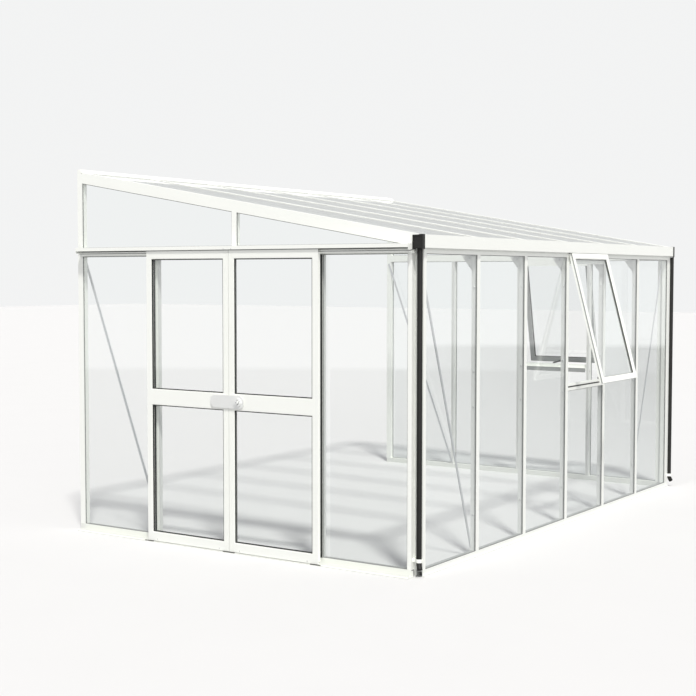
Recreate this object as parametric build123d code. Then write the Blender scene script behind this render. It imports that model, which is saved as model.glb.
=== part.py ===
from build123d import *
from math import cos, radians, sin, tan
import os

# Lean-to greenhouse of white aluminium bars and clear glass, standing against a house wall.
# Setting-out frame, millimetres: X runs along the eave from the outer face of the door gable,
# Y runs from the outer face of the eave side to the house wall, and Z is up from the ground.
# The finished pieces are moved so that the origin is on the ground at the middle of the eave sill.

# Bays
BAY = 745.0                 # pitch of the glazing bars
EAVE_BAYS = 6
GABLE_BAYS = 4
MARGIN = 50.0               # outer face to the first line of the bay grid
WINDOW_BAY_INDEX = 4        # bay of the eave side that holds a window, from the door gable
GABLE_WINDOW_BAY_INDEX = 2  # bay of the far gable that holds a window, from the eave

# Heights
SILL_H = 45.0
EAVE_Z = 2161.0             # underside of the gutter
EAVE_H = 86.0               # gutter's underside to the top of the roof bars over the outer face
HEAD_DROP = 36.0            # heads of the panes below the gutter
TRANSOM_H = 65.0            # gable transoms, above the heads of the panes
ROOF_PITCH = 9.78           # degrees

# Glass and its grooves
GLASS_T = 4.0
GLASS_PLAY = 0.3            # free thickness in a glazing groove
GROOVE_DEPTH = 12.0
EDGE_PLAY = 2.0             # free space beyond a pane's edge in its groove
REBATE_W = 6.0              # step round a pane for its rubber bead
REBATE_T = 3.0

# Glazing bars, sills, posts, transoms and eave beam share one depth
WALL_DEPTH = 50.0
CAP_W = 42.0
CAP_T = 4.0
BAR_BODY_W = 26.0
BAR_SEAT_T = 3.0            # flange that the glass lies on
BOLT_SLOT_W = 8.0
BOLT_SLOT_DEPTH = 6.0
RAFTER_DEPTH = 62.0
GABLE_RAFTER_DEPTH = 80.0
GABLE_RAFTER_WEB_T = 25.0
GABLE_RAFTER_SHELF_T = 21.0 # below the seat of the roof glass
GABLE_RAFTER_FOOT_T = 8.0

# Downpipes: the near one in a notch of its post, the far one outside the gable under the end cap
PIPE_D = 37.0
PIPE_PLAY = 0.5             # pipe to both walls of its notch, or to the gable's outer face
FAR_PIPE_Y = -9.0
PIPE_FOOT_Z = 92.0
SHOE_LENGTH = 44.0
SHOE_TILT = 28.0            # degrees
PIPE_WALL = 2.0
SHOE_RECESS = 25.0
CLIP_ABOVE_FOOT = 6.0
CLIP_H = 24.0
CLIP_T = 2.5
CLIP_CLEAR = 0.15
CLIP_LUG_W = 44.0           # lug of the far clip along the post, from the pipe's centre
SHOE_TURN = 45.0            # degrees; the shoes point away from the corner

# Corner posts; the near one has the notch in which the downpipe stands
NOTCH_BEHIND = 29.0         # notch behind the pipe, along the gable
POST_FLANGE_W = 31.0
POST_WEB = 12.0

# Eave beam with its gutter
GUTTER_FRONT = -28.0
GUTTER_WALL = 3.0
CAP_OVERHANG = 20.0         # roof bars and glass beyond the outer face, over the gutter
BEAM_WALL = 4.0
HEAD_LINE_H = 24.0          # shadow line on the eave beam, above the heads of the panes
LINE_W = 2.5
LINE_DEPTH = 2.0

# Moulded end caps of the gutter
END_CAP_T = 30.0
END_CAP_PROUD = 2.0
END_CAP_DROP = 9.0
END_CAP_RIM_W = 8.0
END_CAP_RECESS = 4.0
END_CAP_FOOT_H = 5.0
END_CAP_TAB_H = 4.0

# Wall plate
PLATE_W = 50.0
PLATE_FLASH_W = 25.0
PLATE_LIP = 4.0             # cover lip above the roof bars
PLATE_RISE = 26.0           # top edge above the roof bars at the plate's face

# Base sill
SILL_FOOT = 6.0
SILL_FOOT_H = 12.0
SILL_GROOVE_DEPTH = 8.0
SILL_HOLLOW_L = 60.0        # open ends at the corners
SILL_WALL = 6.0
SILL_GROOVE_FLOOR_T = 3.0

# Sliding doors
LEAF_LAP = 27.5             # leaf beyond the centre line of its jamb
LEAF_SEAM = 5.0
LEAF_T = 28.0
LEAF_BACK = 40.0            # gable outer face to the back of a leaf
LEAF_FOOT_Z = 10.0
STILE_W = 51.0
BOTTOM_RAIL_H = 71.0
TOP_RAIL_H = 45.0
MID_RAIL_Z = 1023.0
MID_RAIL_H = 123.0
LEAF_GLASS_GRIP = 10.0
STILE_RIB_PITCH = 14.0      # grooves down the closing stiles
STILE_RIBS = 2

# Door track and guide
TRACK_T = 3.0
HOOD_GAP = 7.0              # leaf to the hood's face
HOOD_FACE_T = 5.0
HOOD_LINES = (21.0, 41.0)   # shadow lines above the hood's lower edge
HOOD_END_H = 45.0
UPSTAND_H = 8.0
WHEEL_D = 26.0
WHEEL_W = 12.0
WHEEL_CLEAR = 0.3
HANGER_T = 6.0
HANGER_W = 60.0
HANGER_INSET = 120.0
RUN_CLEAR = 5.0             # free space round what slides
GUIDE_T = 5.0
GUIDE_FIN_T = 4.0
GUIDE_FIN_H = 17.0

# Latch on the doors
LATCH_L = 300.0
LATCH_H = 92.0
LATCH_T = 4.0
LATCH_CORNER = 43.0
LATCH_PAD_L = 90.0
LATCH_PAD_H = 74.0
LATCH_PAD_GAP = 9.0         # pad from the seam
LATCH_OFF = 12.0            # latch centre from the seam, towards the wall
KNOB_D = 62.0
KNOB_T = 8.0
KNOB_CORE_D = 30.0
KNOB_CORE_T = 10.0
KNOB_INSET = 53.0           # knob from the eave-side end of the plate

# Top-hung windows, standing open
SASH_SIDE_LAP = 6.0         # sash over the caps of the bars beside it
SASH_T = 28.0
SASH_BAR = 46.0
SASH_GLASS_GRIP = 8.0
SASH_FOOT_GAP = 10.0        # shut sash above the sill's outer lip
HINGE_DROP = 10.0           # hinge line below the gutter
HINGE_D = 8.0
HINGE_PLAY = 0.3
FRONT_OPEN = 15.0           # degrees
GABLE_OPEN = 12.0           # degrees
WINDOW_SILL_Z = 1066.0
WINDOW_LIP_H = 22.0
WINDOW_SILL_H = 54.0
WINDOW_UPSTAND_T = 14.0
WINDOW_HEAD_H = 49.0
STAY_T = 4.0
STAY_W = 12.0
STAY_FOOT = 30.0
STAY_INSET = 60.0           # stay of the eave window from the end of its sash

# Braces and knee brackets
BRACE_W = 20.0
BRACE_T = 5.0
KNEE_RUN = 160.0
KNEE_DROP = 180.0
KNEE_HOLE_RUN = 54.0        # triangle left open in the corner
KNEE_HOLE_DROP = 61.0
KNEE_T = 16.0

LENGTH = EAVE_BAYS * BAY + 2 * MARGIN
DEPTH = GABLE_BAYS * BAY + 2 * MARGIN
ROOF_Z = EAVE_Z + EAVE_H    # top of the roof bars over the outer face of the eave side
HEAD_Z = EAVE_Z - HEAD_DROP
TRANSOM_TOP = HEAD_Z + TRANSOM_H
SLOPE = tan(radians(ROOF_PITCH))
COS = cos(radians(ROOF_PITCH))
SIN = sin(radians(ROOF_PITCH))
GROOVE_W = GLASS_T + GLASS_PLAY
SEAT_V = CAP_T + GROOVE_W   # depth of the glass seat below a bar's outer face
SEAT_BACK = SEAT_V + BAR_SEAT_T
GLASS_V0 = SEAT_V - GLASS_T
GLASS_FOOT_Z = SILL_H - SILL_GROOVE_DEPTH
SILL_HOLLOW_TOP = GLASS_FOOT_Z - SILL_GROOVE_FLOOR_T
NECK_W = CAP_W - 2 * GROOVE_DEPTH
PANE_EDGE = NECK_W / 2 + EDGE_PLAY
POST_EDGE = MARGIN + CAP_W / 2
PIPE_CENTRE = PIPE_D / 2 + PIPE_PLAY
POST_NOTCH_X = PIPE_D + 2 * PIPE_PLAY
POST_NOTCH_Y = POST_NOTCH_X + NOTCH_BEHIND
POST_GABLE_EDGE = POST_NOTCH_Y + POST_FLANGE_W
PLATE_Y = DEPTH - PLATE_W
X_AXIS = (1, 0, 0)
Y_AXIS = (0, 1, 0)


def bar_line(index):
    """Centre of a glazing bar on the bay grid, from the outer face at its start."""
    return MARGIN + index * BAY


def roof_z(y, depth=0.0):
    """Height over y of the plane that lies depth below the top of the roof bars."""
    return ROOF_Z + y * SLOPE - depth / COS


PLATE_Z = roof_z(PLATE_Y, GABLE_RAFTER_DEPTH)
PLATE_TOP_Z = roof_z(PLATE_Y) + PLATE_RISE
ABOVE_ALL = 2 * PLATE_TOP_Z


def block(x0, x1, y0, y1, z0, z1):
    """Box between three pairs of planes."""
    size = (x1 - x0, y1 - y0, z1 - z0)
    return Pos((x0 + x1) / 2, (y0 + y1) / 2, (z0 + z1) / 2) * Box(*size)


def prism_x(points, x0, x1):
    """Outline in Y and Z carried along X."""
    face = make_face(Polyline(*[(y, z) for y, z in points], close=True))
    return Pos(x0, 0, 0) * extrude(Plane.YZ * face, amount=x1 - x0)


def above_roof(depth):
    """Everything above the plane that lies depth below the top of the roof bars."""
    low, high = -DEPTH, 2 * DEPTH
    top = 2 * ABOVE_ALL
    points = [(low, roof_z(low, depth)), (high, roof_z(high, depth)), (high, top), (low, top)]
    return prism_x(points, -LENGTH, 2 * LENGTH)


def rect(u0, u1, v0, v1):
    """Rectangle between two pairs of lines."""
    return Pos((u0 + u1) / 2, (v0 + v1) / 2) * Rectangle(u1 - u0, v1 - v0)


def bar_section(depth):
    """Glazing bar: outer cap, neck between the grooves, seat flange, body with a bolt slot."""
    half = CAP_W / 2
    section = rect(-half, half, 0, CAP_T)
    section += rect(-NECK_W / 2, NECK_W / 2, 0, SEAT_BACK)
    section += rect(-half, half, SEAT_V, SEAT_BACK)
    section += rect(-BAR_BODY_W / 2, BAR_BODY_W / 2, SEAT_V, depth)
    slot = rect(-BOLT_SLOT_W / 2, BOLT_SLOT_W / 2, depth - BOLT_SLOT_DEPTH, depth)
    return section - slot


def upright(section, x, y, z0, z1, inward):
    """Section stood upright, its depth running inward from an outer face."""
    across = {"+Y": (1, 0, 0), "+X": (0, -1, 0), "-X": (0, 1, 0)}[inward]
    return extrude(Plane((x, y, z0), across, (0, 0, 1)) * section, amount=z1 - z0)


def roof_bar(section, x, y0, y1):
    """Section laid up the roof slope between two lines over y."""
    plane = Plane((x, y0, roof_z(y0)), X_AXIS, (0, COS, SIN))
    return extrude(plane * section, amount=(y1 - y0) / COS)


def gable_x(far, depth):
    """X at a depth inside the outer face of the near or the far gable."""
    return LENGTH - depth if far else depth


def gable_block(far, v0, v1, y0, y1, z0, z1):
    """Box at a range of depths inside a gable."""
    ends = sorted((gable_x(far, v0), gable_x(far, v1)))
    return block(ends[0], ends[1], y0, y1, z0, z1)


# Base


def front_sill():
    """Sill of the eave side from the downpipe notch to the far corner, hollow at the notch."""
    profile = [(-SILL_FOOT, 0), (WALL_DEPTH, 0), (WALL_DEPTH, SILL_H), (0, SILL_H), (0, SILL_FOOT_H),
               (-SILL_FOOT, SILL_FOOT_H)]
    sill = prism_x(profile, POST_NOTCH_X, LENGTH)
    sill -= block(0, LENGTH - POST_EDGE + GROOVE_DEPTH, CAP_T, SEAT_V, GLASS_FOOT_Z, SILL_H)
    x1 = POST_NOTCH_X + SILL_HOLLOW_L
    return sill - block(POST_NOTCH_X, x1, SILL_WALL, WALL_DEPTH - SILL_WALL, SILL_WALL, SILL_HOLLOW_TOP)


def near_sill():
    """Sill of the door gable from the downpipe notch to the house wall, hollow at the notch."""
    sill = block(0, WALL_DEPTH, POST_NOTCH_Y, DEPTH, 0, SILL_H)
    sill -= block(CAP_T, SEAT_V, POST_NOTCH_Y, DEPTH, GLASS_FOOT_Z, SILL_H)
    y1 = POST_NOTCH_Y + SILL_HOLLOW_L
    return sill - block(SILL_WALL, WALL_DEPTH - SILL_WALL, POST_NOTCH_Y, y1, SILL_WALL, SILL_HOLLOW_TOP)


def far_sill():
    """Sill of the far gable behind the eave sill, with an outer foot that runs on to the corner."""
    sill = gable_block(True, 0, WALL_DEPTH, WALL_DEPTH, DEPTH, 0, SILL_H)
    sill += gable_block(True, -SILL_FOOT, 0, -SILL_FOOT, DEPTH, 0, SILL_FOOT_H)
    groove_y = POST_GABLE_EDGE - GROOVE_DEPTH
    return sill - gable_block(True, CAP_T, SEAT_V, groove_y, DEPTH, GLASS_FOOT_Z, SILL_H)


# Eave beam, gutter and wall plate


def eave_beam():
    """Eave beam and gutter as one extrusion, with a leg between the posts for the heads of the panes."""
    head_z = roof_z(0, SEAT_V)
    profile = [(0, EAVE_Z), (WALL_DEPTH, EAVE_Z), (WALL_DEPTH, roof_z(WALL_DEPTH, SEAT_V)), (0, head_z)]
    beam = prism_x(profile, 0, LENGTH)
    beam -= block(0, LENGTH, BEAM_WALL, WALL_DEPTH - BEAM_WALL, EAVE_Z + BEAM_WALL, head_z - BEAM_WALL)
    trough = block(0, LENGTH, GUTTER_FRONT, 0, EAVE_Z, EAVE_Z + GUTTER_WALL)
    trough += block(0, LENGTH, GUTTER_FRONT, GUTTER_FRONT + GUTTER_WALL, EAVE_Z, ROOF_Z)
    leg = block(POST_EDGE, LENGTH - POST_EDGE, 0, WALL_DEPTH, HEAD_Z, EAVE_Z)
    leg -= block(0, LENGTH, CAP_T, SEAT_V, HEAD_Z, HEAD_Z + GROOVE_DEPTH)
    line_z = HEAD_Z + HEAD_LINE_H
    leg -= block(0, LENGTH, 0, LINE_DEPTH, line_z, line_z + LINE_W)
    return beam + trough + leg


def end_cap(far):
    """Moulded cap over the end of gutter and beam: a rimmed face, two feet and a tab over the gutter."""
    y0 = GUTTER_FRONT - END_CAP_PROUD
    y1 = WALL_DEPTH - END_CAP_PROUD
    z0 = EAVE_Z - END_CAP_DROP
    z1 = ROOF_Z - END_CAP_PROUD
    rim = END_CAP_RIM_W
    cap = gable_block(far, -END_CAP_T, 0, y0, y1, z0, z1)
    cap += gable_block(far, -END_CAP_T, 0, y0, 0, z1, z1 + END_CAP_TAB_H)
    cap -= gable_block(far, -END_CAP_T, END_CAP_RECESS - END_CAP_T, y0 + rim, y1 - rim, z0 + rim, z1 - rim)
    cap -= gable_block(far, -END_CAP_T, 0, y0 + rim, y1 - rim, z0, z0 + END_CAP_FOOT_H)
    return cap


def wall_plate():
    """Plate along the house wall with a cover lip and a groove for the head of the roof glass."""
    profile = [(PLATE_Y, PLATE_Z), (DEPTH, PLATE_Z), (DEPTH, PLATE_TOP_Z),
               (DEPTH - PLATE_FLASH_W, PLATE_TOP_Z), (PLATE_Y, roof_z(PLATE_Y) + PLATE_LIP)]
    groove_end = PLATE_Y + GROOVE_DEPTH
    groove = [(PLATE_Y, roof_z(PLATE_Y, SEAT_V)), (groove_end, roof_z(groove_end, SEAT_V)),
              (groove_end, roof_z(groove_end, CAP_T)), (PLATE_Y, roof_z(PLATE_Y, CAP_T))]
    return prism_x(profile, 0, LENGTH) - prism_x(groove, 0, LENGTH)


# Roof bars


def roof_bar_seats():
    """Space that the eave beam, the gutter and the wall plate take from the ends of a roof bar."""
    points = [(GUTTER_FRONT, 0), (WALL_DEPTH, 0), (WALL_DEPTH, roof_z(WALL_DEPTH, SEAT_V)),
              (GUTTER_FRONT, roof_z(GUTTER_FRONT, SEAT_V))]
    beam = prism_x(points, -LENGTH, 2 * LENGTH)
    return beam + block(-LENGTH, 2 * LENGTH, PLATE_Y, 2 * DEPTH, 0, ABOVE_ALL)


def rafter(index):
    return roof_bar(bar_section(RAFTER_DEPTH), bar_line(index), -CAP_OVERHANG, DEPTH) - roof_bar_seats()


def gable_rafter(far):
    """Deep rafter over a gable, grooved for the roof glass inside and the gable glass below."""
    section = rect(0, WALL_DEPTH, 0, GABLE_RAFTER_DEPTH)
    section -= rect(WALL_DEPTH - GROOVE_DEPTH, WALL_DEPTH, CAP_T, SEAT_V)
    section -= rect(CAP_T, SEAT_V, GABLE_RAFTER_DEPTH - GROOVE_DEPTH, GABLE_RAFTER_DEPTH)
    section -= rect(GABLE_RAFTER_WEB_T, WALL_DEPTH, SEAT_V + GABLE_RAFTER_SHELF_T,
                    GABLE_RAFTER_DEPTH - GABLE_RAFTER_FOOT_T)
    if far:
        section = mirror(section, about=Plane.YZ)
    return roof_bar(section, gable_x(far, 0), -CAP_OVERHANG, DEPTH) - roof_bar_seats()


# Posts and bars of the walls


def post_flanges(far, eave_start, gable_start):
    """Grooved flanges of a corner post along the eave and along the gable, from where each starts."""
    eave = gable_block(far, eave_start, POST_EDGE, 0, WALL_DEPTH, SILL_H, EAVE_Z)
    eave -= gable_block(far, POST_EDGE - GROOVE_DEPTH, POST_EDGE, CAP_T, SEAT_V, SILL_H, EAVE_Z)
    gable = gable_block(far, 0, WALL_DEPTH, gable_start, POST_GABLE_EDGE, SILL_H, ABOVE_ALL)
    groove_y = POST_GABLE_EDGE - GROOVE_DEPTH
    gable -= gable_block(far, CAP_T, SEAT_V, groove_y, POST_GABLE_EDGE, SILL_H, ABOVE_ALL)
    return eave, gable - above_roof(GABLE_RAFTER_DEPTH)


def near_post():
    """Corner post with a web round the notch in which the downpipe stands."""
    eave, gable = post_flanges(False, POST_NOTCH_X, POST_NOTCH_Y)
    web_x1 = POST_NOTCH_X + POST_WEB
    web = block(POST_NOTCH_X, web_x1, WALL_DEPTH, POST_GABLE_EDGE, SILL_H, ABOVE_ALL)
    web += block(POST_NOTCH_X, web_x1, WALL_DEPTH, POST_NOTCH_Y, 0, SILL_H)
    return eave + gable + (web - above_roof(GABLE_RAFTER_DEPTH))


def far_post():
    """Corner post without a notch."""
    eave, gable = post_flanges(True, 0, WALL_DEPTH)
    return eave + gable


def wall_post(far):
    body = gable_block(far, 0, WALL_DEPTH, PLATE_Y, DEPTH, SILL_H, PLATE_Z)
    return body - gable_block(far, CAP_T, SEAT_V, PLATE_Y, PLATE_Y + GROOVE_DEPTH, SILL_H, PLATE_Z)


def front_mullion(index):
    return upright(bar_section(WALL_DEPTH), bar_line(index), 0, SILL_H, HEAD_Z, "+Y")


def gable_mullion(far, index, z0, z1):
    inward = "-X" if far else "+X"
    return upright(bar_section(WALL_DEPTH), gable_x(far, 0), bar_line(index), z0, z1, inward)


def wall_bar(far, index):
    """Bar of a gable from the sill up to the transom."""
    return gable_mullion(far, index, SILL_H, HEAD_Z)


def king_post(far):
    return gable_mullion(far, GABLE_BAYS / 2, TRANSOM_TOP, ABOVE_ALL) - above_roof(GABLE_RAFTER_DEPTH)


def transom(far):
    body = gable_block(far, 0, WALL_DEPTH, POST_GABLE_EDGE, PLATE_Y, HEAD_Z, TRANSOM_TOP)
    body -= gable_block(far, CAP_T, SEAT_V, 0, DEPTH, HEAD_Z, HEAD_Z + GROOVE_DEPTH)
    body -= gable_block(far, CAP_T, SEAT_V, 0, DEPTH, TRANSOM_TOP - GROOVE_DEPTH, TRANSOM_TOP)
    return body - above_roof(GABLE_RAFTER_DEPTH)


# Glass


def pane_ends(bay, bays, low, high):
    """Edges of the pane in one bay, counted from 1, where low and high are the outermost edges."""
    left = low if bay == 1 else bar_line(bay - 1) + PANE_EDGE
    right = high if bay == bays else bar_line(bay) - PANE_EDGE
    return left, right


def pane_head(is_window):
    """Top edge of a pane of the walls: in the groove over it, or in the sill of a window."""
    foot = WINDOW_SILL_Z if is_window else HEAD_Z
    return foot + GROOVE_DEPTH - EDGE_PLAY


def front_glass():
    panes = []
    edge = POST_EDGE - GROOVE_DEPTH + EDGE_PLAY
    for bay in range(1, EAVE_BAYS + 1):
        left, right = pane_ends(bay, EAVE_BAYS, edge, LENGTH - edge)
        panes.append(block(left, right, GLASS_V0, SEAT_V, GLASS_FOOT_Z, pane_head(bay == WINDOW_BAY_INDEX)))
    return panes


def roof_glass():
    panes = []
    y0 = -CAP_OVERHANG
    y1 = PLATE_Y + GROOVE_DEPTH - EDGE_PLAY
    outline = [(y0, roof_z(y0, SEAT_V)), (y1, roof_z(y1, SEAT_V)),
               (y1, roof_z(y1, GLASS_V0)), (y0, roof_z(y0, GLASS_V0))]
    edge = WALL_DEPTH - GROOVE_DEPTH + EDGE_PLAY
    for bay in range(1, EAVE_BAYS + 1):
        left, right = pane_ends(bay, EAVE_BAYS, edge, LENGTH - edge)
        panes.append(prism_x(outline, left, right))
    return panes


def gable_glass(far):
    """Panes under the transom, none in the doorway, and two over it."""
    panes = []
    low = POST_GABLE_EDGE - GROOVE_DEPTH + EDGE_PLAY
    high = PLATE_Y + GROOVE_DEPTH - EDGE_PLAY
    for bay in range(1, GABLE_BAYS + 1):
        if not far and 1 < bay < GABLE_BAYS:
            continue
        left, right = pane_ends(bay, GABLE_BAYS, low, high)
        top = pane_head(far and bay == GABLE_WINDOW_BAY_INDEX)
        panes.append(gable_block(far, GLASS_V0, SEAT_V, left, right, GLASS_FOOT_Z, top))
    return panes + upper_gable_glass(far, high)


def upper_gable_glass(far, high):
    """Two sloping panes, one each side of the king post, from where the rafter leaves the transom."""
    middle = bar_line(GABLE_BAYS / 2)
    low = (TRANSOM_TOP - roof_z(0, GABLE_RAFTER_DEPTH)) / SLOPE
    foot = TRANSOM_TOP - GROOVE_DEPTH
    outside = above_roof(GABLE_RAFTER_DEPTH - GROOVE_DEPTH + EDGE_PLAY)
    outside += block(-LENGTH, 2 * LENGTH, PLATE_Y, DEPTH, PLATE_Z, ABOVE_ALL)
    spans = [(low, middle - PANE_EDGE), (middle + PANE_EDGE, high)]
    return [gable_block(far, GLASS_V0, SEAT_V, y0, y1, foot, ABOVE_ALL) - outside for y0, y1 in spans]


# Doors


DOOR_CENTRE = bar_line(GABLE_BAYS / 2)
LEAF_W = BAY + LEAF_LAP - LEAF_SEAM / 2
LEAF_X0 = -LEAF_BACK - LEAF_T
LEAF_X1 = -LEAF_BACK
LEAF_MID_X = (LEAF_X0 + LEAF_X1) / 2
SHELF_Z = TRANSOM_TOP - TRACK_T - RUN_CLEAR - WHEEL_D - WHEEL_CLEAR - UPSTAND_H
LEAF_TOP_Z = SHELF_Z - RUN_CLEAR
TRACK_OUT = LEAF_BACK + LEAF_T + HOOD_GAP + HOOD_FACE_T
TRACK_Y0 = MARGIN
TRACK_Y1 = DEPTH - MARGIN
UPSTAND_X1 = LEAF_MID_X + HANGER_T / 2 + RUN_CLEAR + TRACK_T


def leaf_start(wall_side):
    return DOOR_CENTRE + LEAF_SEAM / 2 if wall_side else DOOR_CENTRE - LEAF_SEAM / 2 - LEAF_W


def leaf_lights():
    """Foot and head of the lower and the upper light of a leaf."""
    return (LEAF_FOOT_Z + BOTTOM_RAIL_H, MID_RAIL_Z), (MID_RAIL_Z + MID_RAIL_H, LEAF_TOP_Z - TOP_RAIL_H)


def leaf_panes(wall_side):
    """Upper and lower pane of one leaf, held by their edges in the frame."""
    y0 = leaf_start(wall_side) + STILE_W - LEAF_GLASS_GRIP
    y1 = leaf_start(wall_side) + LEAF_W - STILE_W + LEAF_GLASS_GRIP
    x0, x1 = LEAF_MID_X - GLASS_T / 2, LEAF_MID_X + GLASS_T / 2
    return [block(x0, x1, y0, y1, z0 - LEAF_GLASS_GRIP, z1 + LEAF_GLASS_GRIP) for z0, z1 in leaf_lights()]


def leaf_frame(wall_side):
    """Frame of one leaf: two lights with a stepped edge, ribs down the closing stile, a foot groove."""
    start = leaf_start(wall_side)
    end = start + LEAF_W
    frame = block(LEAF_X0, LEAF_X1, start, end, LEAF_FOOT_Z, LEAF_TOP_Z)
    for z0, z1 in leaf_lights():
        frame -= block(LEAF_X0, LEAF_X1, start + STILE_W, end - STILE_W, z0, z1)
        step = (start + STILE_W - REBATE_W, end - STILE_W + REBATE_W, z0 - REBATE_W, z1 + REBATE_W)
        frame -= block(LEAF_X0, LEAF_X0 + REBATE_T, *step)
        frame -= block(LEAF_X1 - REBATE_T, LEAF_X1, *step)
    for pane in leaf_panes(wall_side):
        frame -= pane
    for index in range(1, STILE_RIBS + 1):
        rib_y = start + index * STILE_RIB_PITCH if wall_side else end - index * STILE_RIB_PITCH
        rib = (rib_y - LINE_W / 2, rib_y + LINE_W / 2)
        frame -= block(LEAF_X0, LEAF_X0 + LINE_DEPTH, *rib, LEAF_FOOT_Z, LEAF_TOP_Z)
    groove_half = GUIDE_FIN_T / 2 + RUN_CLEAR
    groove_top = GUIDE_T + GUIDE_FIN_H + RUN_CLEAR
    return frame - block(LEAF_MID_X - groove_half, LEAF_MID_X + groove_half, start, end, 0, groove_top)


def leaf_hangers(wall_side):
    """Two hanger plates with the wheels that run on the track's upstand."""
    wheel_z = SHELF_Z + UPSTAND_H + WHEEL_CLEAR + WHEEL_D / 2
    plate_x0 = LEAF_MID_X - HANGER_T / 2
    plate_x1 = LEAF_MID_X + HANGER_T / 2
    hangers = []
    for y in (HANGER_INSET, LEAF_W - HANGER_INSET):
        centre = leaf_start(wall_side) + y
        plate = block(plate_x0, plate_x1, centre - HANGER_W / 2, centre + HANGER_W / 2, LEAF_TOP_Z, wheel_z)
        wheel = Pos(plate_x1 + WHEEL_W / 2, centre, wheel_z) * Rot(0, 90, 0) * Cylinder(WHEEL_D / 2, WHEEL_W)
        crown = Pos(LEAF_MID_X, centre, wheel_z) * Rot(0, 90, 0) * Cylinder(WHEEL_D / 2, HANGER_T)
        hangers.append(plate + crown + wheel)
    return hangers


def door_track():
    """Hood over the heads of the leaves, shelf and upstand for the wheels, end plates under the wheel way."""
    face_x1 = -TRACK_OUT + HOOD_FACE_T
    track = block(-TRACK_OUT, face_x1, TRACK_Y0, TRACK_Y1, HEAD_Z, TRANSOM_TOP)
    for height in HOOD_LINES:
        line_z = HEAD_Z + height
        track -= block(-TRACK_OUT, LINE_DEPTH - TRACK_OUT, TRACK_Y0, TRACK_Y1, line_z, line_z + LINE_W)
    track += block(face_x1, 0, TRACK_Y0, TRACK_Y1, TRANSOM_TOP - TRACK_T, TRANSOM_TOP)
    track += block(-TRACK_T, 0, TRACK_Y0, TRACK_Y1, HEAD_Z, TRANSOM_TOP)
    track += block(UPSTAND_X1 - TRACK_T, 0, TRACK_Y0, TRACK_Y1, SHELF_Z, SHELF_Z + TRACK_T)
    track += block(UPSTAND_X1 - TRACK_T, UPSTAND_X1, TRACK_Y0, TRACK_Y1, SHELF_Z, SHELF_Z + UPSTAND_H)
    for y in (TRACK_Y0, TRACK_Y1 - TRACK_T):
        track += block(-TRACK_OUT, 0, y, y + TRACK_T, HEAD_Z, HEAD_Z + HOOD_END_H)
    return track


def door_guide():
    """Rail on the outside of the gable sill whose fin guides the feet of the leaves."""
    guide = block(-TRACK_OUT, 0, TRACK_Y0, TRACK_Y1, 0, GUIDE_T)
    fin_x0 = LEAF_MID_X - GUIDE_FIN_T / 2
    guide += block(fin_x0, fin_x0 + GUIDE_FIN_T, TRACK_Y0, TRACK_Y1, 0, GUIDE_T + GUIDE_FIN_H)
    guide += block(-TRACK_T, 0, TRACK_Y0, TRACK_Y1, 0, SILL_H - CAP_T)
    return guide


LATCH_Z = MID_RAIL_Z + MID_RAIL_H / 2
LATCH_X1 = LEAF_X0 - RUN_CLEAR
KNOB_Y = DOOR_CENTRE + LATCH_OFF - LATCH_L / 2 + KNOB_INSET


def latch_plate():
    """Oblong latch plate over both mid rails, standing off on a pad on the wall-side leaf."""
    face = Plane((LATCH_X1, DOOR_CENTRE + LATCH_OFF, LATCH_Z), Y_AXIS, (-1, 0, 0))
    plate = extrude(face * RectangleRounded(LATCH_L, LATCH_H, LATCH_CORNER), amount=LATCH_T)
    pad_y0 = DOOR_CENTRE + LEAF_SEAM / 2 + LATCH_PAD_GAP + STILE_RIBS * STILE_RIB_PITCH
    half = LATCH_PAD_H / 2
    return plate + block(LATCH_X1, LEAF_X0, pad_y0, pad_y0 + LATCH_PAD_L, LATCH_Z - half, LATCH_Z + half)


def latch_knob():
    seat = Pos(LATCH_X1 - LATCH_T, KNOB_Y, LATCH_Z) * Rot(0, -90, 0)
    disc = seat * Pos(0, 0, KNOB_T / 2) * Cylinder(KNOB_D / 2, KNOB_T)
    return disc + seat * Pos(0, 0, KNOB_T + KNOB_CORE_T / 2) * Cylinder(KNOB_CORE_D / 2, KNOB_CORE_T)


# Windows, modelled about their hinge line and then set into their bay


SASH_W = BAY - CAP_W + 2 * SASH_SIDE_LAP
HINGE_Z = EAVE_Z - HINGE_DROP
SASH_H = HINGE_Z - WINDOW_SILL_Z - WINDOW_LIP_H - SASH_FOOT_GAP
WINDOW_SILL = WINDOW_SILL_Z - HINGE_Z       # the same level from the hinge line
WINDOW_HEAD = HEAD_Z - HINGE_Z


def opened(piece, angle):
    """Swings a shut sash's piece out about its top edge."""
    return Rot(-angle, 0, 0) * piece


def into_bay(piece, far):
    """Moves a window piece from the hinge frame into its bay, on the eave side or the far gable."""
    if far:
        return Pos(LENGTH, bar_line(GABLE_WINDOW_BAY_INDEX - 0.5), HINGE_Z) * Rot(0, 0, 90) * piece
    return Pos(bar_line(WINDOW_BAY_INDEX - 0.5), 0, HINGE_Z) * piece


def sash_pane():
    half = SASH_W / 2 - SASH_BAR + SASH_GLASS_GRIP
    reach = SASH_BAR - SASH_GLASS_GRIP
    return block(-half, half, -SASH_T / 2 - GLASS_T / 2, -SASH_T / 2 + GLASS_T / 2, reach - SASH_H, -reach)


def sash_frame():
    """Sash frame with a stepped outer edge round its light."""
    frame = block(-SASH_W / 2, SASH_W / 2, -SASH_T, 0, -SASH_H, 0)
    half = SASH_W / 2 - SASH_BAR
    frame -= block(-half, half, -SASH_T, 0, SASH_BAR - SASH_H, -SASH_BAR)
    half += REBATE_W
    reach = SASH_BAR - REBATE_W
    frame -= block(-half, half, -SASH_T, REBATE_T - SASH_T, reach - SASH_H, -reach)
    return frame - sash_pane()


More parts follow.
